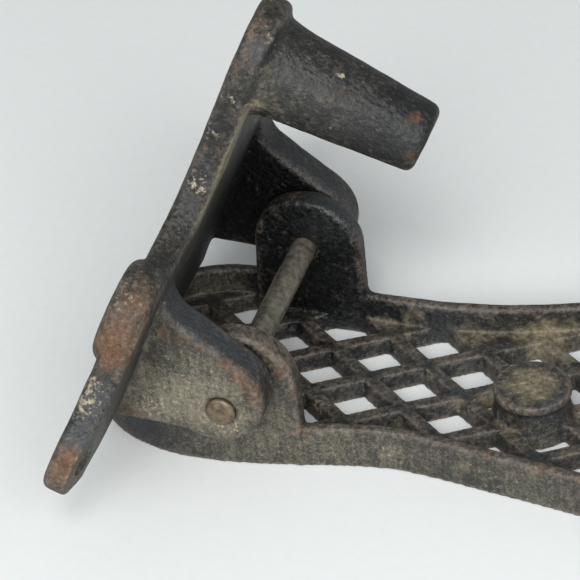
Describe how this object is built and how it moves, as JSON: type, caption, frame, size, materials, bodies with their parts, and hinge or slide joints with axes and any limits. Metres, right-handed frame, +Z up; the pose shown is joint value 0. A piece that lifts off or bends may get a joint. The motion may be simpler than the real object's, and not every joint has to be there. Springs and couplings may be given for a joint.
{
  "type": "folding shoe rest",
  "caption": "Cast folding rest for a shoe: a sole-shaped lattice plate hinged by a pin to a wall bracket with feet, an arm and a supporting peg.",
  "frame": {"origin": "middle of the footprint, on the plane of the foot plate's shoe face, which is the surface the part lies on", "axes": "+X from heel to toe, +Y to the side along the hinge axis, +Z up, away from the shoe face"},
  "size_m": [0.2772, 0.191, 0.1395],
  "materials": {
    "foot_plate_iron": "worn black paint",
    "bracket_iron": "worn black paint with rust",
    "pin_steel": "dull, rusted at the ends"
  },
  "bodies": {
    "plate_body": {"foot_plate": "foot_plate_iron"},
    "bracket_body": {"bracket": "bracket_iron", "hinge_pin": "pin_steel"}
  },
  "joints": [
    {"name": "bracket_fold", "type": "hinge", "parent": "plate_body", "child": "bracket_body", "pos_m": [-0.0814, 0, 0.0301], "axis": [0, 1, 0], "range_deg": [0, 63.4]}
  ]
}
